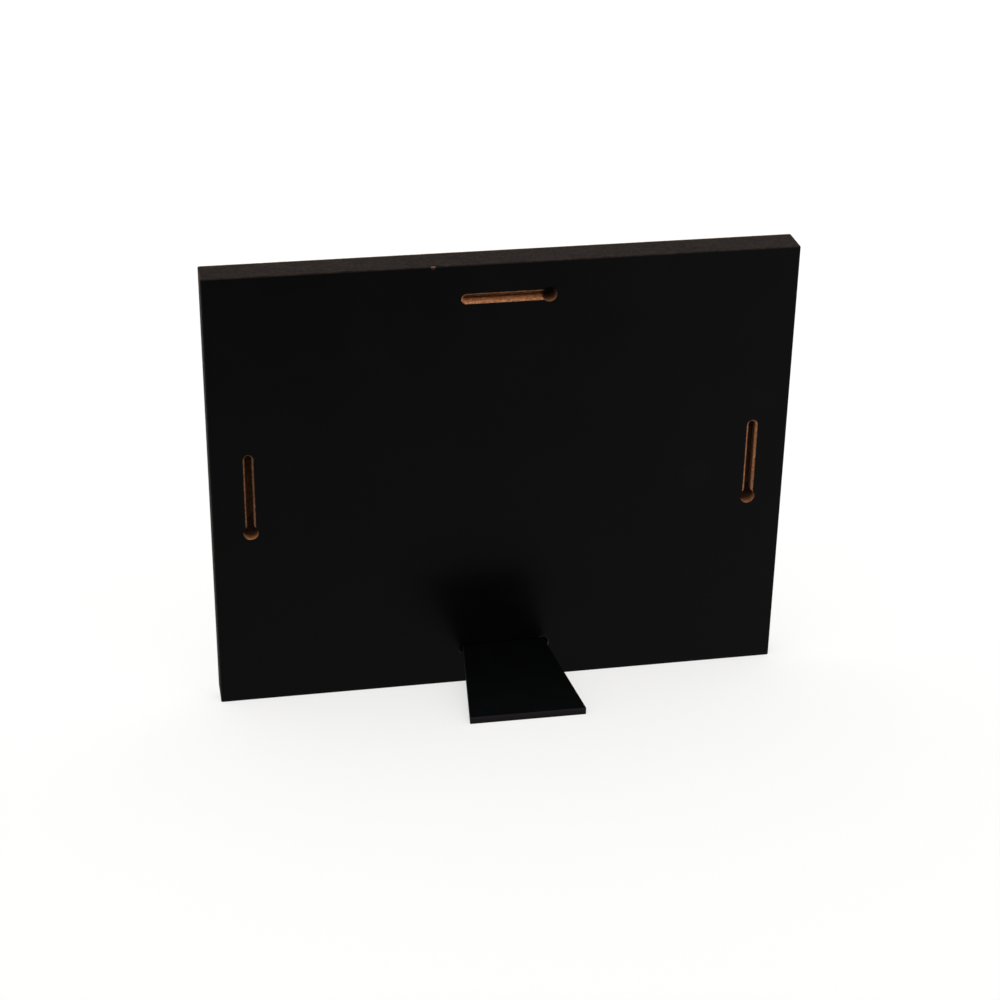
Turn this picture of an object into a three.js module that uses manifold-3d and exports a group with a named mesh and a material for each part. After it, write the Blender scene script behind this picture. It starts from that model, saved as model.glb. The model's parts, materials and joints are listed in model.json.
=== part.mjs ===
// A 10 x 8 in photo panel standing on its plug-in easel foot.
//
// The panel is a board of MDF with a white gloss sheet bonded to its picture face and a
// satin black foil bonded to its back. Three keyhole slots for wall screws and one
// round-ended slot for the foot are routed through the foil into the board. The foot is a
// tapered plate that pushes into its slot, and the panel leans back on it.
//
// Frame: +Z up, +X along the panel's width, picture face towards -Y, back and foot towards
// +Y. The origin is on the surface that the object stands on, under the middle of its box.
// Millimetres.
//
// The panel and foot are first laid out in the panel's own frame: x across, z up along the
// board from its bottom edge, and y out of the back, with y = 0 on the back surface. That
// frame is then leant back until the board's lower back edge and the foot's toe both touch
// the ground.

import * as THREE from 'three';
import { mergeVertices } from 'three/addons/utils/BufferGeometryUtils.js';
import Module from 'manifold-3d';

// ---------------------------------------------------------------- driving dimensions

const PANEL_WIDTH = 254.0; // 10 in
const PANEL_HEIGHT = 203.2; // 8 in
const PANEL_THICKNESS = 15.9; // 5/8 in, with both skins
const CORNER_RADIUS = 0.6; // the board's four corners, seen from the back
const EDGE_ROUND = 0.3; // eased long edges of the board and the foot

const FACE_SHEET_THICKNESS = 0.8;
const FACE_SHEET_INSET = 0.2; // from the board's outline
const BACK_FOIL_THICKNESS = 0.3;
const BACK_FOIL_INSET = 0.45; // from the board's outline, clear of its rounded edge
const BOND_LINE = 0.05; // glue between a skin and the board

// Keyholes: a screw head enters the round hole, then its shank slides along the narrow
// slot while the head runs in the wider channel behind it.
const KEYHOLE_ENTRY_DIAMETER = 6.5;
const KEYHOLE_DEPTH = 9.5; // from the back surface to the pocket's floor
const KEYHOLE_TRAVEL = 35.35; // entry hole's centre to the slot's end centre
const NECK_WIDTH = 3.1;
const NECK_DEPTH = 5.2; // from the back surface to where the wide channel starts
const MOUTH_WIDTH = 4.9; // the neck's chamfered mouth
const CHANNEL_WIDTH = 6.1;

// Where each keyhole's entry hole is, across and up, and which way its slot runs.
const KEYHOLES = [
  { entry: [-18.35, 187.9], direction: [1, 0] }, // top, for an upright panel
  { entry: [110.6, 84.85], direction: [0, 1] }, // side, +x
  { entry: [-111.2, 84.85], direction: [0, 1] }, // side, -x
];

const FOOT_SLOT_CENTRE = [-1.35, 17.35]; // across and up
const FOOT_SLOT_LENGTH = 41.1;
const FOOT_SLOT_WIDTH = 4.4;
const FOOT_SLOT_DEPTH = 9.5;

const FOOT_THICKNESS = 3.3; // nominal 1/8 in sheet
const FOOT_REACH = 61.8; // back surface to the toe, along the plate
const FOOT_PLUG = 9.0; // length inside the slot
const FOOT_MOUTH_WIDTH = 37.3; // plate width where it leaves the slot
const FOOT_TOE_WIDTH = 50.8;
const FOOT_CORNER_RADIUS = 0.5;
const FOOT_AT_MOUTH = [-1.2, 19.3]; // across, and up to the upper face, at the back surface
const FOOT_RISE = THREE.MathUtils.degToRad(1.5); // play in the slot lets the toe lift
const FOOT_TURN = THREE.MathUtils.degToRad(-0.75); // and turn sideways, towards +x

const ARC_SEGMENTS = 20; // per half turn on the slots' round ends
const CIRCLE_SEGMENTS = 40;
const CLEAR_CUT = 2.0; // how far a cutter stands out of the surface that it cuts

// Depths of the board's two faces below the back surface.
const BOARD_BACK = BACK_FOIL_THICKNESS + BOND_LINE;
const BOARD_FRONT = PANEL_THICKNESS - FACE_SHEET_THICKNESS - BOND_LINE;

// ---------------------------------------------------------------- materials

function paint(color, roughness) {
  return new THREE.MeshStandardMaterial({ color, roughness, metalness: 0 });
}

const MATERIALS = {
  board: paint(0x2b2725, 0.75),
  faceSheet: paint(0xf4f4f2, 0.12),
  backFoil: paint(0x111011, 0.38),
  foot: paint(0x0d0d0e, 0.4),
};

// ---------------------------------------------------------------- solids and cuts

const wasm = await Module();
wasm.setup();

function solidOf(geometry) {
  const bare = geometry.clone();
  bare.deleteAttribute('normal');
  bare.deleteAttribute('uv');
  const merged = mergeVertices(bare, 1e-4);
  return new wasm.Manifold(
    new wasm.Mesh({
      numProp: 3,
      vertProperties: new Float32Array(merged.attributes.position.array),
      triVerts: new Uint32Array(merged.index.array),
    }),
  );
}

function geometryOf(solid) {
  const { vertProperties, triVerts } = solid.getMesh();
  const geometry = new THREE.BufferGeometry();
  geometry.setAttribute('position', new THREE.BufferAttribute(vertProperties, 3));
  geometry.setIndex(new THREE.BufferAttribute(triVerts, 1));
  geometry.computeVertexNormals();
  return geometry;
}

function cutAll(geometry, cutters) {
  const cut = cutters.reduce(
    (solid, cutter) => solid.subtract(solidOf(cutter)),
    solidOf(geometry),
  );
  return geometryOf(cut);
}

// ---------------------------------------------------------------- outlines and extrusions

// A rectangle with round corners, standing on z = 0 and centred across.
function panelOutline(inset) {
  const half = PANEL_WIDTH / 2 - inset;
  const low = inset;
  const high = PANEL_HEIGHT - inset;
  const r = CORNER_RADIUS;
  const outline = new THREE.Shape();
  outline.absarc(half - r, low + r, r, -Math.PI / 2, 0);
  outline.absarc(half - r, high - r, r, 0, Math.PI / 2);
  outline.absarc(-half + r, high - r, r, Math.PI / 2, Math.PI);
  outline.absarc(-half + r, low + r, r, Math.PI, Math.PI * 1.5);
  outline.closePath();
  return outline;
}

// A slot with round ends of the given width, between the centres of its two ends.
function slotOutline(start, end, width) {
  const heading = Math.atan2(end.y - start.y, end.x - start.x);
  const side = Math.PI / 2;
  const outline = new THREE.Shape();
  outline.absarc(end.x, end.y, width / 2, heading - side, heading + side);
  outline.absarc(start.x, start.y, width / 2, heading + side, heading + 3 * side);
  outline.closePath();
  return outline;
}

// Turns an extrusion, whose outline is across and up, to run from the back surface inwards.
// The extrusion's own z is then the depth below the back surface.
function sinkIntoBack(geometry) {
  return geometry.rotateX(Math.PI / 2);
}

// A straight-walled block of the given outline between two depths.
function block(outline, fromDepth, toDepth) {
  const geometry = new THREE.ExtrudeGeometry(outline, {
    depth: toDepth - fromDepth,
    bevelEnabled: false,
    curveSegments: ARC_SEGMENTS,
  });
  return sinkIntoBack(geometry.translate(0, 0, fromDepth));
}

// A block whose two faces meet its sides in a small rounded edge.
function easedBlock(outline, fromDepth, toDepth, round, curveSegments) {
  const geometry = new THREE.ExtrudeGeometry(outline, {
    depth: toDepth - fromDepth - 2 * round,
    bevelThickness: round,
    bevelSize: round,
    bevelOffset: -round,
    bevelSegments: 3,
    curveSegments,
  });
  return sinkIntoBack(geometry.translate(0, 0, fromDepth + round));
}

// A cutter that widens from its outline, at depth chamfer below the face, to its outline
// plus the chamfer all round at the face, and goes on straight out of the board.
function chamferCutter(outline, faceDepth, chamfer) {
  const geometry = new THREE.ExtrudeGeometry(outline, {
    depth: CLEAR_CUT,
    bevelThickness: chamfer,
    bevelSize: chamfer,
    bevelSegments: 1,
    curveSegments: ARC_SEGMENTS,
  });
  return sinkIntoBack(geometry.translate(0, 0, faceDepth - CLEAR_CUT));
}

// ---------------------------------------------------------------- routed features

function keyholeEnds({ entry, direction }) {
  const start = new THREE.Vector2(...entry);
  const end = start.clone().addScaledVector(new THREE.Vector2(...direction), KEYHOLE_TRAVEL);
  return { start, end };
}

function entryHoleCutter({ entry }, toDepth) {
  const length = toDepth + CLEAR_CUT;
  const radius = KEYHOLE_ENTRY_DIAMETER / 2;
  const hole = new THREE.CylinderGeometry(radius, radius, length, CIRCLE_SEGMENTS);
  return hole.translate(entry[0], CLEAR_CUT - length / 2, entry[1]);
}

// The board's share of a keyhole: entry hole, neck with its chamfered mouth, wide channel.
function keyholeCutters(keyhole) {
  const { start, end } = keyholeEnds(keyhole);
  const neck = slotOutline(start, end, NECK_WIDTH);
  const channel = slotOutline(start, end, CHANNEL_WIDTH);
  const chamfer = (MOUTH_WIDTH - NECK_WIDTH) / 2;
  return [
    entryHoleCutter(keyhole, KEYHOLE_DEPTH),
    block(neck, -CLEAR_CUT, KEYHOLE_DEPTH),
    chamferCutter(neck, BOARD_BACK, chamfer),
    block(channel, NECK_DEPTH, KEYHOLE_DEPTH),
  ];
}

// The foil's share: the chamfer's width all the way through, and the entry hole.
function keyholeFoilCutters(keyhole) {
  const { start, end } = keyholeEnds(keyhole);
  return [
    entryHoleCutter(keyhole, BOARD_BACK),
    block(slotOutline(start, end, MOUTH_WIDTH), -CLEAR_CUT, BOARD_BACK),
  ];
}

function footSlotCutter(toDepth) {
  const [across, up] = FOOT_SLOT_CENTRE;
  const halfRun = (FOOT_SLOT_LENGTH - FOOT_SLOT_WIDTH) / 2;
  const start = new THREE.Vector2(across - halfRun, up);
  const end = new THREE.Vector2(across + halfRun, up);
  return block(slotOutline(start, end, FOOT_SLOT_WIDTH), -CLEAR_CUT, toDepth);
}

// ---------------------------------------------------------------- the pieces

function namedMesh(name, geometry, material) {
  const mesh = new THREE.Mesh(geometry, material);
  mesh.name = name;
  return mesh;
}

function makeBoard() {
  const blank = easedBlock(panelOutline(0), BOARD_BACK, BOARD_FRONT, EDGE_ROUND, 3);
  const cutters = [...KEYHOLES.flatMap(keyholeCutters), footSlotCutter(FOOT_SLOT_DEPTH)];
  return namedMesh('mdf_board', cutAll(blank, cutters), MATERIALS.board);
}

function makeBackFoil() {
  const sheet = block(panelOutline(BACK_FOIL_INSET), 0, BACK_FOIL_THICKNESS);
  const cutters = [...KEYHOLES.flatMap(keyholeFoilCutters), footSlotCutter(BOARD_BACK)];
  return namedMesh('back_foil', cutAll(sheet, cutters), MATERIALS.backFoil);
}

function makeFaceSheet() {
  const sheet = easedBlock(
    panelOutline(FACE_SHEET_INSET),
    PANEL_THICKNESS - FACE_SHEET_THICKNESS,
    PANEL_THICKNESS,
    FACE_SHEET_THICKNESS / 4,
    3,
  );
  return namedMesh('picture_face_sheet', sheet, MATERIALS.faceSheet);
}

// The foot in its own frame: y runs out of the slot from the back surface, z = 0 is the
// plate's upper face. It turns about the upright line, so its toe stays level.
function makeFoot(lean) {
  const taper = (FOOT_TOE_WIDTH - FOOT_MOUTH_WIDTH) / 2 / FOOT_REACH;
  const rootHalf = FOOT_MOUTH_WIDTH / 2 - taper * FOOT_PLUG;
  const toeHalf = FOOT_TOE_WIDTH / 2;
  const r = FOOT_CORNER_RADIUS;
  const outline = new THREE.Shape();
  outline.moveTo(-rootHalf, -FOOT_PLUG);
  outline.lineTo(rootHalf, -FOOT_PLUG);
  outline.lineTo(toeHalf - taper * r, FOOT_REACH - r);
  outline.quadraticCurveTo(toeHalf, FOOT_REACH, toeHalf - r, FOOT_REACH);
  outline.lineTo(-toeHalf + r, FOOT_REACH);
  outline.quadraticCurveTo(-toeHalf, FOOT_REACH, -toeHalf + taper * r, FOOT_REACH - r);
  outline.closePath();
  const plate = new THREE.ExtrudeGeometry(outline, {
    depth: FOOT_THICKNESS - 2 * EDGE_ROUND,
    bevelThickness: EDGE_ROUND,
    bevelSize: EDGE_ROUND,
    bevelOffset: -EDGE_ROUND,
    bevelSegments: 3,
    curveSegments: 4,
  });
  plate.translate(0, 0, EDGE_ROUND - FOOT_THICKNESS);
  const foot = namedMesh('easel_foot', plate, MATERIALS.foot);
  const [across, up] = FOOT_AT_MOUTH;
  foot.position.set(across, 0, up);
  foot.rotation.x = FOOT_RISE;
  foot.rotateOnWorldAxis(new THREE.Vector3(0, -Math.sin(lean), Math.cos(lean)), FOOT_TURN);
  return foot;
}

// ---------------------------------------------------------------- standing it up

// The lean at which the board's lower back edge and the foot's toe are level. Both edges
// are rounded to the same radius, so the line through the rounds' centres is level too.
function restingLean() {
  const boardEdge = new THREE.Vector2(-BOARD_BACK - EDGE_ROUND, EDGE_ROUND);
  const toe = new THREE.Vector2(FOOT_REACH - EDGE_ROUND, EDGE_ROUND - FOOT_THICKNESS);
  toe.rotateAround(new THREE.Vector2(), FOOT_RISE);
  toe.y += FOOT_AT_MOUTH[1];
  return toe.sub(boardEdge).angle();
}

// Stands a group on z = 0 with the middle of its box over the origin.
function standOnGround(group) {
  const box = new THREE.Box3().setFromObject(group, true);
  const middle = box.getCenter(new THREE.Vector3());
  group.position.set(-middle.x, -middle.y, -box.min.z);
}

const lean = restingLean();
const photoPanel = new THREE.Group();
photoPanel.add(makeBoard(), makeBackFoil(), makeFaceSheet(), makeFoot(lean));
photoPanel.rotation.x = -lean;
standOnGround(photoPanel);

const assembly = new THREE.Group();
assembly.add(photoPanel);

export default assembly;
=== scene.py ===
"""Looks of a photo panel that leans back on its plug-in easel foot, seen from behind.

Everything is in metres, in the CAD frame: +Z up, the panel's picture face towards -Y and its
back, with the keyholes and the foot, towards +Y. Shapes and materials are worked out in the
panel's own frame, in millimetres: x across, y out of the back (0 on the back surface, so
depths are negative), z up the board from its bottom edge.
"""

import json
import math

import bmesh
import bpy
from mathutils import Matrix, Vector, noise


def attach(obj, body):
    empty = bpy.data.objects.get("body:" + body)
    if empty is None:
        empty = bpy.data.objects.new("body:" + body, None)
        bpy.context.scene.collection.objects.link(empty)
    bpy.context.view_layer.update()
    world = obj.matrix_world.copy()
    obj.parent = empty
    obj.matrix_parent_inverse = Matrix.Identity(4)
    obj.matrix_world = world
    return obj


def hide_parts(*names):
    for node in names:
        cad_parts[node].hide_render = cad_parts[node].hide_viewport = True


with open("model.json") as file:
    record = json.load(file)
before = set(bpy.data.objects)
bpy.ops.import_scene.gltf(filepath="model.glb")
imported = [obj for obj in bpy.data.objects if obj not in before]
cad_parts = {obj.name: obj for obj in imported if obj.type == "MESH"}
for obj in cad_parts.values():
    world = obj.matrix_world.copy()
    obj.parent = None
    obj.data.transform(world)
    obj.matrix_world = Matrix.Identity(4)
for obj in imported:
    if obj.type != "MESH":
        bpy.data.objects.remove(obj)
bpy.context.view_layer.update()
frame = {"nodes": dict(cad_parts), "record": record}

MM = 0.001

# ------------------------------------------------------------------ the panel's own frame

MOUNTS = {m["name"]: m for m in frame["record"]["mounts"]}


def panel_matrix():
    """The panel's own frame, from the flat faces that the record states."""
    back_point = Vector(MOUNTS["wall_face"]["pos_m"])
    back_normal = Vector(MOUNTS["wall_face"]["axis"]).normalized()
    edge_point = Vector(MOUNTS["bottom_edge"]["pos_m"])
    up_board = -Vector(MOUNTS["bottom_edge"]["axis"]).normalized()
    origin = back_normal * back_normal.dot(back_point) + up_board * up_board.dot(edge_point)
    across = back_normal.cross(up_board)
    turn = Matrix((across, back_normal, up_board)).transposed()
    return Matrix.Translation(origin) @ turn.to_4x4()


PANEL = panel_matrix()
PANEL_INVERSE = PANEL.inverted()


def to_scene(point):
    """A point of the panel's own frame, in millimetres, as a scene point."""
    return PANEL @ (Vector(point) * MM)


def to_panel(point):
    """A scene point as a point of the panel's own frame, in millimetres."""
    return PANEL_INVERSE @ Vector(point) / MM


def panel_box(node):
    """Lowest and highest corner of a CAD node in the panel's own frame."""
    points = [to_panel(v.co) for v in frame["nodes"][node].data.vertices]
    low = Vector([min(p[i] for p in points) for i in range(3)])
    high = Vector([max(p[i] for p in points) for i in range(3)])
    return low, high


BOARD_LOW, BOARD_HIGH = panel_box("mdf_board")
FOIL_LOW, FOIL_HIGH = panel_box("back_foil")
HALF_WIDTH = BOARD_HIGH.x
HEIGHT = BOARD_HIGH.z
BOARD_BACK = BOARD_HIGH.y
BOARD_FRONT = BOARD_LOW.y

# ------------------------------------------------------------------ sizes, in millimetres

CORNER_RADIUS = 0.6
EDGE_ROUND = 0.3
FOIL_EDGE_ROUND = 0.1

# The keyholes, whose entry holes are where the record's openings are.
ENTRY_RADIUS = 3.25
POCKET_DEPTH = 9.5
TRAVEL = 35.35
NECK_HALF = 1.55
CHANNEL_HALF = 3.05
CHANNEL_DEPTH = 5.2
CHAMFER_DEPTH = 0.6
# For each opening: which way the slot runs from it, half the width of its mouth, and the
# painted light and shade on the bare fibre, as tones at the lip, on the wall and at the
# deepest, in the slot and then in the entry hole.
KEYHOLES = {
    "keyhole_entry_top": ((1, 0), 2.3, (0.84, 1.30, 0.62), (0.48, 0.12, 0.03)),
    "keyhole_entry_left": ((0, 1), 2.25, (0.42, 0.17, 0.17), (0.78, 0.12, 0.08)),
    "keyhole_entry_right": ((0, 1), 2.45, (0.78, 0.26, 0.20), (0.68, 0.13, 0.11)),
}
# The depths between which the painted light and shade on the fibre change: from the lip's
# tone to the wall's, from the wall's to the deepest, and from the lip's colour to the
# painted-shade tint deeper in.
SLOT_DEPTHS = ((-3.2, -0.3), (-6.2, -3.4), (-3.5, -0.6))
HOLE_DEPTHS = ((-5.2, -0.6), (-9.5, -5.0), (-1.6, -0.2))

FOOT_SLOT_CENTRE = (-1.35, 17.35)
FOOT_SLOT_LENGTH = 41.1
FOOT_SLOT_HALF = 2.2
FOOT_SLOT_DEPTH = 9.5
FOOT_SLOT_FLARE = 0.35  # width of the ring that is torn off round the mouth
FLARE_DEPTH = 0.65  # where the ring starts
FLARE_RISE = 0.27  # how far above that it reaches its full width

# Chips broken out of the upper back edge: place across, then width, depth along the top
# face, and height down the back.
CHIPS = [
    (31.1, 3.0, 0.58, 0.90),
    (29.8, 2.2, 0.34, 0.65),
    (54.8, 0.7, 0.35, 0.35),
    (47.6, 0.8, 0.3, 0.3),
    (-65.9, 0.7, 0.3, 0.3),
    (-73.2, 0.6, 0.3, 0.3),
]
FOIL_TEAR = 0.55  # how much further down the foil is torn at the largest chip

# The break in the foil above the foot's slot: across, up, half width, half height, depth.
SLOT_BREAK = (-18.9, 19.7, 2.1, 1.5, 1.3)

# Smears on the back foil: across, up, half width, half height, turn in degrees, strength.
SMEARS = [
    (-87.0, 97.0, 9.0, 14.0, -35.0, 1.0),
    (-113.0, 132.0, 12.0, 9.0, 0.0, 0.7),
    (64.0, 52.0, 16.0, 7.0, 20.0, 0.35),
]

# ------------------------------------------------------------------ shader building blocks


class Nodes:
    """A node tree whose nodes are added by short calls that return output sockets."""

    def __init__(self, owner):
        owner.use_nodes = True
        self.owner = owner
        self.tree = owner.node_tree
        self.tree.nodes.clear()

    def feed(self, socket, value):
        """Links an output socket to the socket, or sets the socket to a constant."""
        if isinstance(value, bpy.types.NodeSocket):
            self.tree.links.new(value, socket)
        elif isinstance(value, tuple) and socket.type == "RGBA":
            socket.default_value = (*value, 1.0)
        else:
            socket.default_value = value

    def node(self, kind, settings=None, **sockets):
        """A new node. Sockets are fed by name, with an underscore for each space."""
        made = self.tree.nodes.new(kind)
        for key, value in (settings or {}).items():
            setattr(made, key, value)
        for key, value in sockets.items():
            self.feed(made.inputs[key.replace("_", " ")], value)
        return made

    def math(self, operation, a, b=0.0):
        made = self.node("ShaderNodeMath", {"operation": operation})
        self.feed(made.inputs[0], a)
        self.feed(made.inputs[1], b)
        return made.outputs[0]

    def fold(self, operation, values):
        """One math operation over any number of values."""
        total = values[0]
        for value in values[1:]:
            total = self.math(operation, total, value)
        return total

    def add(self, *values):
        return self.fold("ADD", values)

    def minus(self, a, b):
        return self.math("SUBTRACT", a, b)

    def times(self, *values):
        return self.fold("MULTIPLY", values)

    def most(self, *values):
        return self.fold("MAXIMUM", values)

    def size(self, value):
        return self.math("ABSOLUTE", value)

    def vector(self, operation, a, b=(0.0, 0.0, 0.0)):
        made = self.node("ShaderNodeVectorMath", {"operation": operation})
        self.feed(made.inputs[0], a)
        self.feed(made.inputs[1], b)
        return made.outputs["Value" if operation in ("LENGTH", "DOT_PRODUCT") else "Vector"]

    def split(self, vector):
        parts = self.node("ShaderNodeSeparateXYZ", Vector=vector).outputs
        return parts["X"], parts["Y"], parts["Z"]

    def step(self, value, low, high, out_low=0.0, out_high=1.0):
        """A smooth change from out_low, at value low, to out_high, at value high."""
        made = self.node("ShaderNodeMapRange", {"interpolation_type": "SMOOTHSTEP"})
        names = ("Value", "From Min", "From Max", "To Min", "To Max")
        for name, given in zip(names, (value, low, high, out_low, out_high)):
            self.feed(made.inputs[name], given)
        return made.outputs["Result"]

    def noise(self, place, scale, detail=4.0, roughness=0.55, stretch=(1.0, 1.0, 1.0)):
        made = self.node(
            "ShaderNodeTexNoise",
            Vector=self.vector("MULTIPLY", place, stretch),
            Scale=scale,
            Detail=detail,
            Roughness=roughness,
        )
        return made.outputs["Fac"]

    def specks(self, place, cell, size, share, offset=(0.0, 0.0, 0.0)):
        """Sparse round dots: 1 on a dot. Share is the part of the cells that holds one."""
        shifted = self.vector("ADD", place, offset)
        cells = self.node("ShaderNodeTexVoronoi", Vector=shifted, Scale=1.0 / cell)
        near = self.step(cells.outputs["Distance"], 0.3 * size / cell, 0.5 * size / cell, 1.0, 0.0)
        lot = self.split(cells.outputs["Color"])[0]
        return self.times(near, self.math("LESS_THAN", lot, share))

    def mix(self, factor, a, b):
        """A colour between a, at factor 0, and b, at factor 1."""
        made = self.node("ShaderNodeMix", {"data_type": "RGBA"})
        colours = [s for s in made.inputs if s.type == "RGBA"]
        self.feed(made.inputs[0], factor)
        self.feed(colours[0], a)
        self.feed(colours[1], b)
        return next(s for s in made.outputs if s.type == "RGBA")

    def blend(self, factor, a, b):
        """A number between a, at factor 0, and b, at factor 1."""
        return self.add(a, self.times(factor, self.minus(b, a)))

    def brighten(self, colour, amount):
        """A colour multiplied by a number."""
        grey = self.node("ShaderNodeCombineXYZ", X=amount, Y=amount, Z=amount).outputs[0]
        return self.vector("MULTIPLY", colour, grey)

    def bump(self, height, distance_mm, strength=1.0):
        made = self.node(
            "ShaderNodeBump", Height=height, Distance=distance_mm * MM, Strength=strength
        )
        return made.outputs["Normal"]

    def panel_place(self):
        """The shaded point in the panel's own frame, in millimetres."""
        place = self.node("ShaderNodeTexCoord").outputs["Object"]
        mapped = self.node("ShaderNodeMapping", {"vector_type": "TEXTURE"}, Vector=place)
        mapped.inputs["Location"].default_value = PANEL.to_translation()
        mapped.inputs["Rotation"].default_value = PANEL.to_euler()
        mapped.inputs["Scale"].default_value = (MM, MM, MM)
        return mapped.outputs["Vector"]

    def surface(self, colour, roughness, normal=None, **constants):
        """Ends a material in a principled shader, with constants on its own sockets."""
        principled = self.node("ShaderNodeBsdfPrincipled")
        self.feed(principled.inputs["Base Color"], colour)
        self.feed(principled.inputs["Roughness"], roughness)
        if normal is not None:
            self.feed(principled.inputs["Normal"], normal)
        for name, value in constants.items():
            principled.inputs[name.replace("_", " ")].default_value = value
        output = self.node("ShaderNodeOutputMaterial")
        self.feed(output.inputs["Surface"], principled.outputs["BSDF"])
        return self.owner


def material_nodes(name):
    """The empty node tree of a new material."""
    return Nodes(bpy.data.materials.new(name))


# ------------------------------------------------------------------ materials

RAW_FIBRE = (0.375, 0.176, 0.082)
RAW_FIBRE_DARK = (0.18, 0.071, 0.028)
DEEP_SHADE_TINT = (1.0, 0.82, 0.66)  # painted shade: tints the fibre darker and warmer deep in a slot
BROKEN_FIBRE = (0.52, 0.62, 0.98)  # tints the fibre where a chip has broken out
EDGE_PAINT = (0.0150, 0.0109, 0.0092)  # the paint on the upper edge; the other edges are darker, as painted shade
SIDE_PAINTED_SHADE_SHARE = 0.65  # painted shade: how dark the paint is on the other edges, as a share of that
SLOT_PAINT = (0.0040, 0.0034, 0.0032)
FOIL_BLACK = (0.0003, 0.00034, 0.00038)
FOOT_BLACK = (0.0011, 0.00125, 0.00138)
FOOT_EDGE_BLACK = (0.0076, 0.0063, 0.0067)
FACE_WHITE = (0.86, 0.86, 0.845)
DUST = (0.16, 0.13, 0.12)


def fibres(s, place):
    """Colour and height of bare fibreboard: matted short fibres with dark flecks."""
    clumps = s.noise(place, 1.0, detail=3.0)
    strands = s.noise(place, 2.6, roughness=0.65, stretch=(0.8, 1.3, 0.8))
    tone = s.add(s.times(clumps, 0.6), s.times(strands, 0.4))
    return s.mix(s.step(tone, 0.40, 0.60), RAW_FIBRE_DARK, RAW_FIBRE), tone


def bare_material(name, tones, depths):
    """Bare fibreboard as the cutter left it, with painted light and shade by depth: tones at the
    lip, on the wall and deepest.
    """
    s = material_nodes(name)
    place = s.panel_place()
    y = s.split(place)[1]
    painted_lip_light, painted_wall_light, painted_deep_shade = tones
    lip_depths, deep_depths, tint_depths = depths
    colour, height = fibres(s, place)
    # Painted shade: deeper in, the fibre is tinted darker and warmer.
    deep_shade_share = s.step(y, *tint_depths, 1.0, 0.0)
    colour = s.mix(deep_shade_share, colour, s.vector("MULTIPLY", colour, DEEP_SHADE_TINT))
    patches = s.noise(place, 0.25, detail=3.0)
    # Painted light and shade by depth, times a random tone in patches.
    tone = s.times(
        s.step(y, *lip_depths, painted_wall_light, painted_lip_light),
        s.step(y, *deep_depths, painted_deep_shade / painted_wall_light, 1.0),
        s.step(patches, 0.3, 0.7, 0.92, 1.08),
    )
    return s.surface(s.brighten(colour, tone), 0.93, s.bump(height, 0.16), Specular_IOR_Level=0.2)


def broken_material():
    """Fibreboard where a chip has broken out: greyed and ragged."""
    s = material_nodes("broken_fibreboard")
    fibre, height = fibres(s, s.panel_place())
    colour = s.vector("MULTIPLY", fibre, BROKEN_FIBRE)
    return s.surface(colour, 0.95, s.bump(height, 0.2), Specular_IOR_Level=0.2)


def paint_pattern(s, place):
    """Tone, about 1, and height of thin paint that has sunk into sawn fibreboard."""
    streaks = s.noise(place, 1.0, detail=4.0, roughness=0.6, stretch=(0.22, 1.0, 0.22))
    grain = s.noise(place, 1.1, detail=3.0, roughness=0.6, stretch=(1.0, 0.7, 1.0))
    cloud = s.noise(place, 0.03, detail=2.0)
    tone = s.add(s.step(streaks, 0.3, 0.7, 0.72, 1.28), s.step(grain, 0.3, 0.7, -0.50, 0.50))
    height = s.add(s.times(grain, 0.5), s.times(streaks, 0.3))
    return s.times(tone, s.step(cloud, 0.35, 0.65, 0.94, 1.06)), height


def edge_material():
    """Matte black paint on the sawn edges, rubbed to bare fibre along the front edge, with painted
    shade making all but the upper edge darker.
    """
    s = material_nodes("painted_edge")
    place = s.panel_place()
    x, y, z = s.split(place)
    tone, paint_height = paint_pattern(s, place)
    pits = s.specks(place, 8.0, 0.8, 0.10)
    dust = s.specks(place, 9.0, 0.45, 0.12, offset=(31.0, 17.0, 5.0))
    # Painted shade: every edge but the upper one is darker.
    upper = s.step(z, HEIGHT - 0.6, HEIGHT - 0.2, SIDE_PAINTED_SHADE_SHARE, 1.0)
    tone = s.times(tone, upper, s.minus(1.0, s.times(pits, 0.6)))
    paint = s.mix(dust, s.brighten(EDGE_PAINT, tone), DUST)

    raw_colour, raw_height = fibres(s, place)
    tatter = s.times(s.noise(place, 0.5, detail=5.0), 0.8)
    from_front = s.minus(s.minus(y, BOARD_FRONT), tatter)
    from_side = s.minus(HALF_WIDTH, s.size(x))
    from_end = s.math("MINIMUM", z, s.minus(HEIGHT, z))
    from_corner = s.add(s.most(from_side, from_end), s.times(tatter, 0.8))
    bare = s.most(
        s.step(from_front, 0.0, 0.40, 0.50, 0.0),
        s.step(from_corner, 0.35, 0.70, 0.32, 0.0),
    )
    return s.surface(
        s.mix(bare, paint, raw_colour),
        s.step(paint_height, 0.25, 0.55, 0.75, 0.9),
        s.bump(s.add(paint_height, s.times(bare, raw_height)), 0.14, strength=0.9),
        Specular_IOR_Level=0.06,
    )


def slot_material():
    """The foot's slot: black paint that has run in, worn to bare fibre at its ends."""
    s = material_nodes("painted_slot")
    place = s.panel_place()
    x, y = s.split(place)[:2]
    tone, paint_height = paint_pattern(s, place)
    raw_colour, raw_height = fibres(s, place)
    end = FOOT_SLOT_LENGTH / 2
    across = s.minus(x, FOOT_SLOT_CENTRE[0])
    near_end = s.step(s.size(across), end - 2.4, end - 1.2, 0.0, s.step(across, -5, 5, 0.2, 0.03))
    patchy = s.step(raw_height, 0.38, 0.55, 0.4, 1.0)
    worn = s.times(s.step(y, -0.75, -0.5), near_end, patchy)
    return s.surface(
        s.mix(worn, s.brighten(SLOT_PAINT, tone), s.mix(0.5, raw_colour, DUST)),
        0.85,
        s.bump(s.add(paint_height, raw_height), 0.1, strength=0.6),
        Specular_IOR_Level=0.2,
    )


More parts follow.
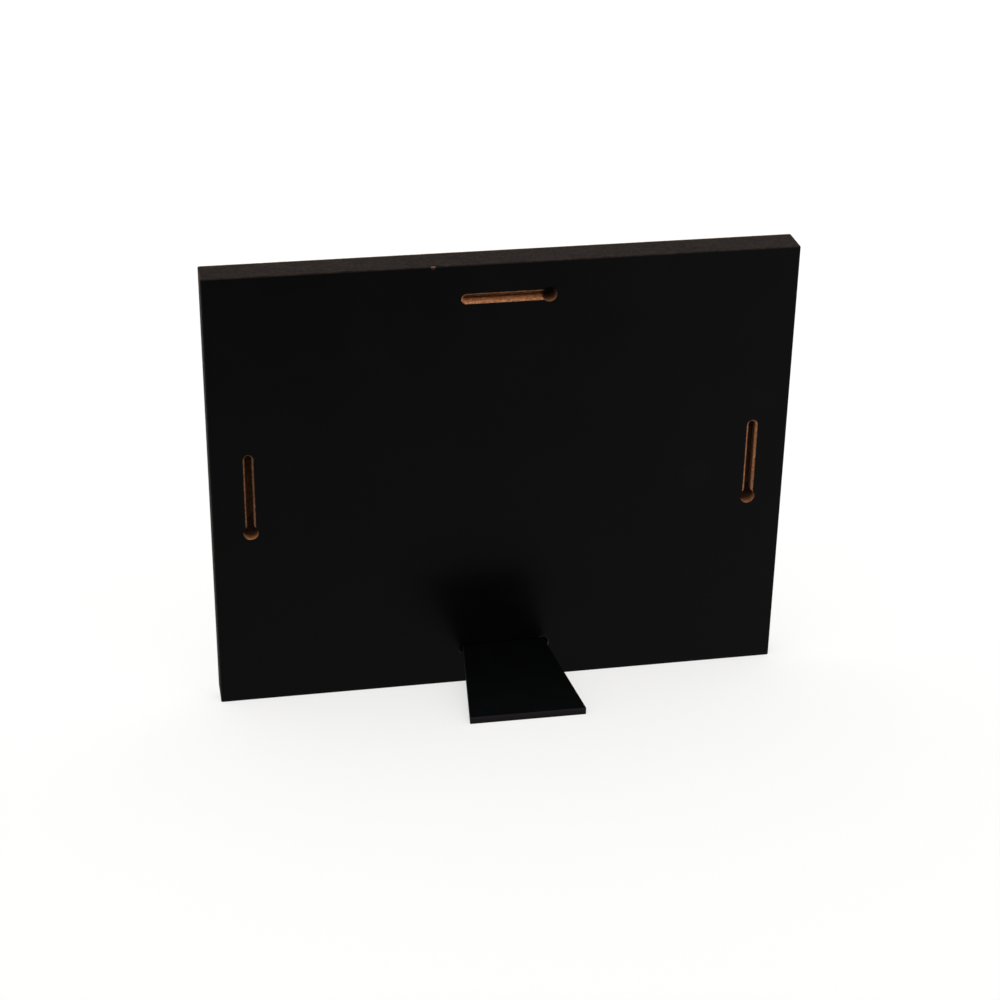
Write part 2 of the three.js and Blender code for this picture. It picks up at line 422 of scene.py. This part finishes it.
def smear_mask(s, place):
    """Soft, wiped-on smears on the back, as a number from 0 to 1."""
    mask = 0.0
    for across, up, half_width, half_height, turn, strength in SMEARS:
        turned = s.node("ShaderNodeMapping", {"vector_type": "TEXTURE"}, Vector=place)
        turned.inputs["Location"].default_value = (across, 0.0, up)
        turned.inputs["Rotation"].default_value = (0.0, math.radians(turn), 0.0)
        shrink = (1 / half_width, 0.0, 1 / half_height)
        away = s.vector("LENGTH", s.vector("MULTIPLY", turned.outputs["Vector"], shrink))
        mask = s.most(mask, s.step(away, 0.15, 1.1, strength, 0.0))
    wiped = s.noise(place, 0.6, stretch=(0.35, 1.0, 0.12))
    return s.times(mask, s.step(wiped, 0.35, 0.65, 0.45, 1.0))


def foil_material():
    """Satin black foil: a fine pebble, faint smears, a few specks of dust."""
    s = material_nodes("satin_black_foil")
    place = s.panel_place()
    pebble = s.noise(place, 2.2, detail=3.0, roughness=0.6)
    cloud = s.noise(place, 0.022, detail=3.0)
    smears = smear_mask(s, place)
    dust = s.specks(place, 24.0, 0.8, 0.16)
    tone = s.add(
        s.step(cloud, 0.3, 0.7, 0.7, 1.3),
        s.times(smears, 2.0),
        s.step(pebble, 0.3, 0.7, -0.3, 0.3),
    )
    return s.surface(
        s.mix(s.times(dust, 0.25), s.brighten(FOIL_BLACK, tone), DUST),
        s.add(s.step(cloud, 0.3, 0.7, 0.30, 0.34), s.times(smears, 0.05)),
        s.bump(pebble, 0.02, strength=0.3),
        Specular_IOR_Level=0.1,
    )


def foot_frame():
    """The foot's outward direction and normal in the panel's frame, and how far its points
    lie along the normal and along the outward direction."""
    turn = PANEL_INVERSE.to_3x3()
    outward = (turn @ Vector(frame["record"]["behaviour"]["joints"][0]["axis"])).normalized()
    normal = Vector((1, 0, 0)).cross(outward).normalized()
    points = [to_panel(v.co) for v in frame["nodes"]["easel_foot"].data.vertices]
    heights = [normal.dot(p) for p in points]
    reaches = [outward.dot(p) for p in points]
    return outward, normal, heights, reaches


def foot_material():
    """Black hardboard: satin faces and matte sawn edges, with painted light: the faces paler
    towards the toe, darker near the panel, and the sawn edges paler at the top face, darker at the
    bottom.
    """
    s = material_nodes("black_hardboard")
    place = s.panel_place()
    outward, normal, heights, reaches = foot_frame()
    height = s.vector("DOT_PRODUCT", place, tuple(normal))
    reach = s.vector("DOT_PRODUCT", place, tuple(outward))
    facing = s.node("ShaderNodeTexCoord").outputs["Normal"]
    scene_normal = tuple(PANEL.to_3x3() @ normal)
    face = s.step(s.size(s.vector("DOT_PRODUCT", facing, scene_normal)), 0.80, 0.97)

    mottle = s.noise(place, 0.09)
    fine = s.noise(place, 2.4, roughness=0.65)
    rubs = s.noise(place, 0.9, detail=5.0, roughness=0.6, stretch=(0.9, 0.12, 1.0))
    sawn = s.noise(place, 2.4, detail=5.0, roughness=0.7, stretch=(0.35, 1.0, 2.2))
    face_tone_and_painted_light = s.add(
        s.step(mottle, 0.3, 0.7, 0.85, 1.1),
        s.step(rubs, 0.55, 0.75, 0.0, 0.2),
        s.step(fine, 0.3, 0.7, -0.15, 0.15),
    )
    # Painted light and shade: the faces paler towards the toe, darker near the panel.
    face_tone_and_painted_light = s.times(face_tone_and_painted_light, s.step(reach, 12.0, max(reaches), 0.72, 1.75))
    sawn_tone_and_painted_light = s.step(sawn, 0.3, 0.7, 0.8, 1.2)
    # Painted highlight and shade: the sawn edges paler at the top face, darker towards the bottom.
    sawn_tone_and_painted_light = s.times(sawn_tone_and_painted_light, s.step(height, min(heights), max(heights), 0.76, 1.30))
    dust = s.times(s.specks(place, 11.0, 0.5, 0.15), 0.25)
    colour = s.mix(
        face, s.brighten(FOOT_EDGE_BLACK, sawn_tone_and_painted_light), s.brighten(FOOT_BLACK, face_tone_and_painted_light)
    )
    return s.surface(
        s.mix(dust, colour, DUST),
        s.blend(face, 0.8, s.step(rubs, 0.4, 0.7, 0.34, 0.42)),
        s.bump(s.blend(face, sawn, s.times(fine, 0.3)), 0.10, strength=0.5),
        Specular_IOR_Level=0.05,
    )


def face_material():
    """White gloss coating: a slight orange peel, faint unevenness, a little dust."""
    s = material_nodes("white_gloss_coating")
    place = s.panel_place()
    peel = s.noise(place, 0.55, detail=2.0)
    cloud = s.noise(place, 0.02, detail=3.0)
    dust = s.specks(place, 22.0, 0.5, 0.12)
    tone = s.minus(s.step(cloud, 0.3, 0.7, 0.975, 1.0), s.times(dust, 0.35))
    return s.surface(
        s.brighten(FACE_WHITE, tone),
        s.step(cloud, 0.35, 0.65, 0.08, 0.14),
        s.bump(peel, 0.015, strength=0.35),
        Coat_Weight=0.6,
        Coat_Roughness=0.04,
    )


# ------------------------------------------------------------------ outlines and solids


def arc(centre, radius, start, end, steps):
    """Points on an arc, from angle start to angle end in degrees, both ends included."""
    turns = [math.radians(start + (end - start) * i / steps) for i in range(steps + 1)]
    x, z = centre
    return [(x + radius * math.cos(t), z + radius * math.sin(t)) for t in turns]


def rounded_rectangle(low, high, radius, steps=6):
    """Points round a rectangle with rounded corners."""
    left, right = low[0] + radius, high[0] - radius
    bottom, top = low[1] + radius, high[1] - radius
    return (
        arc((right, bottom), radius, -90, 0, steps)
        + arc((right, top), radius, 0, 90, steps)
        + arc((left, top), radius, 90, 180, steps)
        + arc((left, bottom), radius, 180, 270, steps)
    )


def between(a, b, steps):
    """Points on the straight line from a to b, without its ends."""
    shares = [i / steps for i in range(1, steps)]
    return [(a[0] + (b[0] - a[0]) * t, a[1] + (b[1] - a[1]) * t) for t in shares]


def stadium(start, end, half, arc_steps=22, side_steps=70):
    """Points round a slot with round ends, close together so that its lip can be ragged."""
    heading = math.degrees(math.atan2(end[1] - start[1], end[0] - start[0]))
    far = arc(end, half, heading - 90, heading + 90, arc_steps)
    near = arc(start, half, heading + 90, heading + 270, arc_steps)
    there = between(near[-1], far[0], side_steps)
    back = between(far[-1], near[0], side_steps)
    return far + back + near + there


def new_piece(name, made, material):
    """A scene object from a bmesh, with one material."""
    mesh = bpy.data.meshes.new(name)
    bmesh.ops.recalc_face_normals(made, faces=made.faces)
    made.to_mesh(mesh)
    made.free()
    mesh.materials.append(material)
    piece = bpy.data.objects.new(name, mesh)
    bpy.context.scene.collection.objects.link(piece)
    return piece


TEAR_COARSE = 0.9  # how often the outline of torn fibres turns, per millimetre
TEAR_FINE = 2.7
TEAR_SHARE = 0.6  # of the amount asked for, to each of the two
TEAR_SEED = 2

noise.seed_set(TEAR_SEED)  # without it noise_vector takes its seed from the clock


def torn(point, amount):
    """The point moved a little, across and up, as the ends of torn fibres are."""
    coarse = noise.noise_vector(point * TEAR_COARSE)
    fine = noise.noise_vector(point * TEAR_FINE + Vector((9.1, 4.7, 2.3)))
    move = (coarse + fine) * TEAR_SHARE * amount
    return point + Vector((move.x, 0.0, move.z))


def stacked(name, levels, material, raggedness=lambda y: 0.0):
    """A closed solid through outlines at different depths: levels are (y, outline)."""
    made = bmesh.new()
    rings = []
    for y, outline in levels:
        points = [torn(Vector((x, y, z)), raggedness(y)) for x, z in outline]
        rings.append([made.verts.new(to_scene(p)) for p in points])
    for low, high in zip(rings, rings[1:]):
        for i in range(len(low)):
            made.faces.new((low[i - 1], low[i], high[i], high[i - 1]))
    for ring in (rings[0], rings[-1]):
        middle = made.verts.new(sum((v.co for v in ring), Vector()) / len(ring))
        for i in range(len(ring)):
            made.faces.new((ring[i - 1], ring[i], middle))
    return new_piece(name, made, material)


def rounded_levels(outline, face, radius, inward, steps=3):
    """Levels from a face to where its rounded edge ends. Inward is +1 or -1 along y."""
    levels = []
    for i in range(steps + 1):
        turn = math.radians(90 * i / steps)
        y = face + inward * radius * (1 - math.cos(turn))
        levels.append((y, outline(radius * (1 - math.sin(turn)))))
    return levels


# ------------------------------------------------------------------ cutters

ABOVE_BACK = 2.0  # how far a cutter stands out of the back
LIP_DEPTH = 0.9  # where the ragged lip gives way to the smoother wall
LIP_TEAR = 0.17
WALL_TEAR = 0.09

# The depths of a cutter's outlines, close together where its width changes.
NECK_DEPTHS = (
    [ABOVE_BACK, 0.1, -0.15]
    + [BOARD_BACK - 0.15 * i for i in range(7)]
    + [-1.8, -2.6, -3.5, -4.4, -CHANNEL_DEPTH, -7.0]
)
ENTRY_DEPTHS = (
    [ABOVE_BACK, 0.1, -0.2, -0.5]
    + [-1.0 * i for i in range(1, 10)]
    + [-POCKET_DEPTH - 0.05]
)
CHANNEL_DEPTHS = [-CHANNEL_DEPTH, -7.0, -POCKET_DEPTH]
FOOT_SLOT_DEPTHS = [
    ABOVE_BACK, 0.1, -0.1, -0.38, -0.5, -0.65, -1.0, -2.0, -4.0, -FOOT_SLOT_DEPTH
]
ENTRY_STEPS = 72  # points round an entry hole


def lip_raggedness(y):
    """How ragged a routed wall is: most at its lip, where foil and fibres tear."""
    return LIP_TEAR if y > -LIP_DEPTH else WALL_TEAR


def keyhole_ends(opening, heading):
    """Centres of the entry hole and of the slot's far end, across and up."""
    low, high = (Vector(corner) for corner in opening["box_m"])
    entry = to_panel((low + high) / 2)
    start = (entry.x, entry.z)
    return start, (start[0] + heading[0] * TRAVEL, start[1] + heading[1] * TRAVEL)


def neck_half(y, mouth_half):
    """Half width of a keyhole's neck: wide at the mouth, then a softly rounded chamfer."""
    share = min(1.0, max(0.0, (BOARD_BACK - y) / CHAMFER_DEPTH))
    return mouth_half - (mouth_half - NECK_HALF) * share * (1.25 - 0.25 * share)


def keyhole_cutters(opening):
    """What the router took out: the neck, the entry hole and the undercut channel."""
    name = opening["name"]
    heading, mouth_half, slot_painted_light, hole_painted_light = KEYHOLES[name]
    routed = bare_material(name + "_slot", slot_painted_light, SLOT_DEPTHS)
    drilled = bare_material(name + "_hole", hole_painted_light, HOLE_DEPTHS)
    start, end = keyhole_ends(opening, heading)
    circle = arc(start, ENTRY_RADIUS, 0, 360, ENTRY_STEPS)[:-1]
    necks = [(y, stadium(start, end, neck_half(y, mouth_half))) for y in NECK_DEPTHS]
    holes = [(y, circle) for y in ENTRY_DEPTHS]
    channels = [(y, stadium(start, end, CHANNEL_HALF)) for y in CHANNEL_DEPTHS]
    return [
        stacked(name + "_neck", necks, routed, lip_raggedness),
        stacked(name + "_hole", holes, drilled, lip_raggedness),
        stacked(name + "_channel", channels, routed, lip_raggedness),
    ]


def foot_slot_cutter(material):
    """The foot's round-ended slot, flared where its mouth is torn."""
    across, up = FOOT_SLOT_CENTRE
    run = FOOT_SLOT_LENGTH / 2 - FOOT_SLOT_HALF
    levels = []
    for y in FOOT_SLOT_DEPTHS:
        flare = min(1.0, max(0.0, (y + FLARE_DEPTH) / FLARE_RISE)) ** 2
        half = FOOT_SLOT_HALF + FOOT_SLOT_FLARE * flare
        levels.append((y, stadium((across - run, up), (across + run, up), half, 16, 60)))
    return stacked("foot_slot", levels, material, lip_raggedness)


LUMP_SWELL = 0.24  # how far a lump's surface strays from round, as a share of its radius


def lump(name, centre, half, seed, material):
    """A rough rounded lump: what is missing where something has broken out."""
    made = bmesh.new()
    bmesh.ops.create_icosphere(made, subdivisions=3, radius=1.0)
    for v in made.verts:
        swell = noise.noise(v.co * 1.9 + Vector((7.3 * seed, 0.0, 0.0)))
        swell += 0.5 * noise.noise(v.co * 5.1 + Vector((0.0, 3.1 * seed, 0.0)))
        v.co *= 1.0 + LUMP_SWELL * swell
        v.co = to_scene([centre[i] + v.co[i] * half[i] for i in range(3)])
    return new_piece(name, made, material)


def chip_cutters(material, tear=0.0):
    """The chips along the upper back edge, the largest one torn further down by tear."""
    cutters = []
    for i, (across, width, depth, height) in enumerate(CHIPS):
        half = (width / 2, depth, height + (tear if i == 0 else 0.0))
        cutters.append(lump(f"chip_{i}", (across, 0.0, HEIGHT), half, i, material))
    return cutters


def slot_break_cutter(material):
    """What has broken out of the foil and the board above the foot's slot."""
    across, up, half_width, half_height, depth = SLOT_BREAK
    return lump("slot_break", (across, 0.0, up), (half_width, depth, half_height), 11, material)


SLIVER = 1e-6  # in metres: edges this short are left over from a cut


def clean(mesh):
    """Welds the slivers left by a cut.

    The faces are split into triangles first, because welding a face that goes round a hole
    can close it over the hole.
    """
    shape = bmesh.new()
    shape.from_mesh(mesh)
    bmesh.ops.triangulate(shape, faces=shape.faces)
    bmesh.ops.remove_doubles(shape, verts=shape.verts, dist=SLIVER)
    bmesh.ops.dissolve_degenerate(shape, edges=shape.edges, dist=SLIVER)
    bmesh.ops.triangulate(shape, faces=shape.faces)
    shape.to_mesh(mesh)
    shape.free()


def carve(piece, cutters):
    """Takes the cutters out of the piece's mesh for good."""
    tools = bpy.data.collections.new("cutters")
    bpy.context.scene.collection.children.link(tools)
    for cutter in cutters:
        tools.objects.link(cutter)
    cut = piece.modifiers.new("carve", "BOOLEAN")
    cut.operand_type = "COLLECTION"
    cut.collection = tools
    cut.solver = "EXACT"
    cut.material_mode = "TRANSFER"
    carved = piece.evaluated_get(bpy.context.evaluated_depsgraph_get())
    piece.data = bpy.data.meshes.new_from_object(carved)
    piece.modifiers.clear()
    bpy.data.collections.remove(tools)
    clean(piece.data)


# ------------------------------------------------------------------ the pieces

SHARP_ANGLE = math.radians(42)


def shade(piece):
    """Smooth over the rounded edges, flat on the large faces."""
    piece.data.shade_smooth()
    piece.data.set_sharp_from_angle(angle=SHARP_ANGLE)
    weighted = piece.modifiers.new("flat_faces", "WEIGHTED_NORMAL")
    weighted.keep_sharp = True
    weighted.weight = 100


def stand_for(piece, node):
    """The piece takes the place of a CAD node of the panel."""
    shade(piece)
    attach(piece, "panel")
    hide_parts(node)


def dress(node, material):
    """Gives a carried-over CAD node its material."""
    piece = frame["nodes"][node]
    piece.data.materials.clear()
    piece.data.materials.append(material)
    shade(piece)


def board_outline(inset):
    """The board's outline, drawn in by inset."""
    low, high = (-HALF_WIDTH + inset, inset), (HALF_WIDTH - inset, HEIGHT - inset)
    return rounded_rectangle(low, high, CORNER_RADIUS)


def foil_outline(inset):
    """The foil's outline, drawn in by inset."""
    low = (FOIL_LOW.x + inset, FOIL_LOW.z + inset)
    high = (FOIL_HIGH.x - inset, FOIL_HIGH.z - inset)
    return rounded_rectangle(low, high, CORNER_RADIUS)


def make_board_and_foil():
    """The board and the foil on its back, cut by the same keyholes, slot and breaks."""
    board_levels = rounded_levels(board_outline, BOARD_BACK, EDGE_ROUND, -1)
    board_levels += reversed(rounded_levels(board_outline, BOARD_FRONT, EDGE_ROUND, 1))
    foil_levels = rounded_levels(foil_outline, FOIL_HIGH.y, FOIL_EDGE_ROUND, -1)
    foil_levels.append((BOARD_BACK, foil_outline(0.0)))
    foil_finish = foil_material()
    board = stacked("board", board_levels, edge_material())
    foil = stacked("foil", foil_levels, foil_finish)

    painted = slot_material()
    openings = frame["record"]["physics"]["openings"]
    shared = [cutter for opening in openings for cutter in keyhole_cutters(opening)]
    # The break above the foot's slot takes the slot's near-black finish: partly paint run in,
    # partly painted shade in the break.
    shared += [foot_slot_cutter(painted), slot_break_cutter(painted)]
    chips = chip_cutters(broken_material())
    foil_tears = chip_cutters(foil_finish, FOIL_TEAR)
    carve(board, shared + chips)
    carve(foil, shared + foil_tears)
    for cutter in shared + chips + foil_tears:
        bpy.data.objects.remove(cutter)
    stand_for(board, "mdf_board")
    stand_for(foil, "back_foil")


# ------------------------------------------------------------------ stage, light and camera

FLOOR_TONE = (0.37, 0.37, 0.368)
FLOOR_GLOW = 0.58  # the light table's own light, which keeps the shadows on it faint
FLOOR_HALF = 30.0

# The soft studio light all round: tones of what lies in each direction.
HORIZON_TONE = (1.0, 1.0, 1.0)
OVERHEAD_TONE = (0.62, 0.62, 0.62)
CAMERA_SIDE_TONE = (2.4, 2.36, 2.32)
PICTURE_SIDE_TONE = (1.9, 1.9, 1.9)
UNDERSIDE_TONE = (0.92, 0.88, 0.89)
UNDERSIDE_LOW_TONE = (0.42, 0.395, 0.40)
UNDERSIDE_DARK = (0.0, 0.02, 0.01)

# Where one tone gives way to the next, along the x, y and z of a direction of length 1.
OVERHEAD_Z = (0.15, 0.6)
CAMERA_SIDE_Y = (0.5, 0.9)
CAMERA_SIDE_Z = (-0.15, 0.05)
PICTURE_SIDE_Y = (-0.8, -0.5)
PICTURE_SIDE_Z = (0.25, 0.5)
UNDERSIDE_Z = (-0.14, -0.03)
UNDERSIDE_LOW_Z = (-0.80, -0.70)
DARK_X = (-0.40, -0.18)
DARK_Y = (0.2, 0.45)
DARK_Z = (-0.69, -0.61)

KEY_AZIMUTH = 165.0
KEY_ELEVATION = 50.0
KEY_SPREAD = 55.0
KEY_STRENGTH = 1.2
KEY_TONE = (1.0, 0.985, 0.965)

CAMERA_AZIMUTH = 170.058
CAMERA_ELEVATION = 12.091
CAMERA_ROLL = 2.129
CAMERA_DISTANCE = 0.98340
CAMERA_AIM = Vector((0.001926, 0.00231, 0.088951))
CAMERA_LENS = 81.056


def direction(azimuth, elevation):
    """From the object towards that place."""
    a, e = math.radians(azimuth), math.radians(elevation)
    return Vector((math.sin(a) * math.cos(e), -math.cos(a) * math.cos(e), math.sin(e)))


def make_floor():
    """A pale floor that the object's dark faces don't mirror."""
    s = material_nodes("pale_floor")
    tone = s.step(s.noise(s.panel_place(), 0.004), 0.3, 0.7, 0.99, 1.01)
    finish = s.surface(
        s.brighten(FLOOR_TONE, tone),
        0.9,
        Specular_IOR_Level=0.1,
        Emission_Color=(1.0, 1.0, 0.995, 1.0),
        Emission_Strength=FLOOR_GLOW,
    )
    made = bmesh.new()
    bmesh.ops.create_grid(made, x_segments=1, y_segments=1, size=FLOOR_HALF)
    floor = new_piece("floor", made, finish)
    floor.visible_glossy = False
    floor.visible_diffuse = False
    floor.visible_shadow = False


def make_world():
    """Soft light from all sides, palest at the horizon, dim from underneath."""
    s = Nodes(bpy.data.worlds.new("studio"))
    x, y, z = s.split(s.node("ShaderNodeTexCoord").outputs["Generated"])
    sky = s.mix(s.step(z, *OVERHEAD_Z), HORIZON_TONE, OVERHEAD_TONE)
    camera_side = s.times(s.step(y, *CAMERA_SIDE_Y), s.step(z, *CAMERA_SIDE_Z))
    sky = s.mix(camera_side, sky, CAMERA_SIDE_TONE)
    picture_side = s.times(
        s.step(y, *PICTURE_SIDE_Y, 1.0, 0.0),
        s.step(z, *PICTURE_SIDE_Z, 1.0, 0.0),
    )
    sky = s.mix(picture_side, sky, PICTURE_SIDE_TONE)
    dark = s.times(s.step(z, *DARK_Z), s.step(x, *DARK_X), s.step(y, *DARK_Y))
    underside = s.mix(s.step(z, *UNDERSIDE_LOW_Z), UNDERSIDE_LOW_TONE, UNDERSIDE_TONE)
    underside = s.mix(dark, underside, UNDERSIDE_DARK)
    tone = s.mix(s.step(z, *UNDERSIDE_Z), underside, sky)
    background = s.node("ShaderNodeBackground", Color=tone)
    output = s.node("ShaderNodeOutputWorld")
    s.feed(output.inputs["Surface"], background.outputs["Background"])
    bpy.context.scene.world = s.owner


def make_key_light():
    """A soft sun, to model the rounded edges and the slots."""
    data = bpy.data.lights.new("key", "SUN")
    data.energy = KEY_STRENGTH
    data.angle = math.radians(KEY_SPREAD)
    data.color = KEY_TONE
    light = bpy.data.objects.new("key", data)
    towards = direction(KEY_AZIMUTH, KEY_ELEVATION)
    light.rotation_euler = (-towards).to_track_quat("-Z", "Y").to_euler()
    bpy.context.scene.collection.objects.link(light)


def make_camera():
    """The camera that took the photo, as fitted to the back's outline."""
    back = direction(CAMERA_AZIMUTH, CAMERA_ELEVATION)
    data = bpy.data.cameras.new("camera")
    data.lens = CAMERA_LENS
    data.clip_start = 0.05
    camera = bpy.data.objects.new("camera", data)
    camera.location = CAMERA_AIM + back * CAMERA_DISTANCE
    level = (-back).to_track_quat("-Z", "Y").to_matrix()
    roll = Matrix.Rotation(math.radians(-CAMERA_ROLL), 3, "Z")
    camera.rotation_euler = (level @ roll).to_euler()
    bpy.context.scene.collection.objects.link(camera)
    bpy.context.scene.camera = camera


# ------------------------------------------------------------------ putting it together

make_camera()
make_world()
make_key_light()
make_floor()
make_board_and_foil()
dress("picture_face_sheet", face_material())
dress("easel_foot", foot_material())

bpy.context.scene.view_settings.view_transform = "Standard"
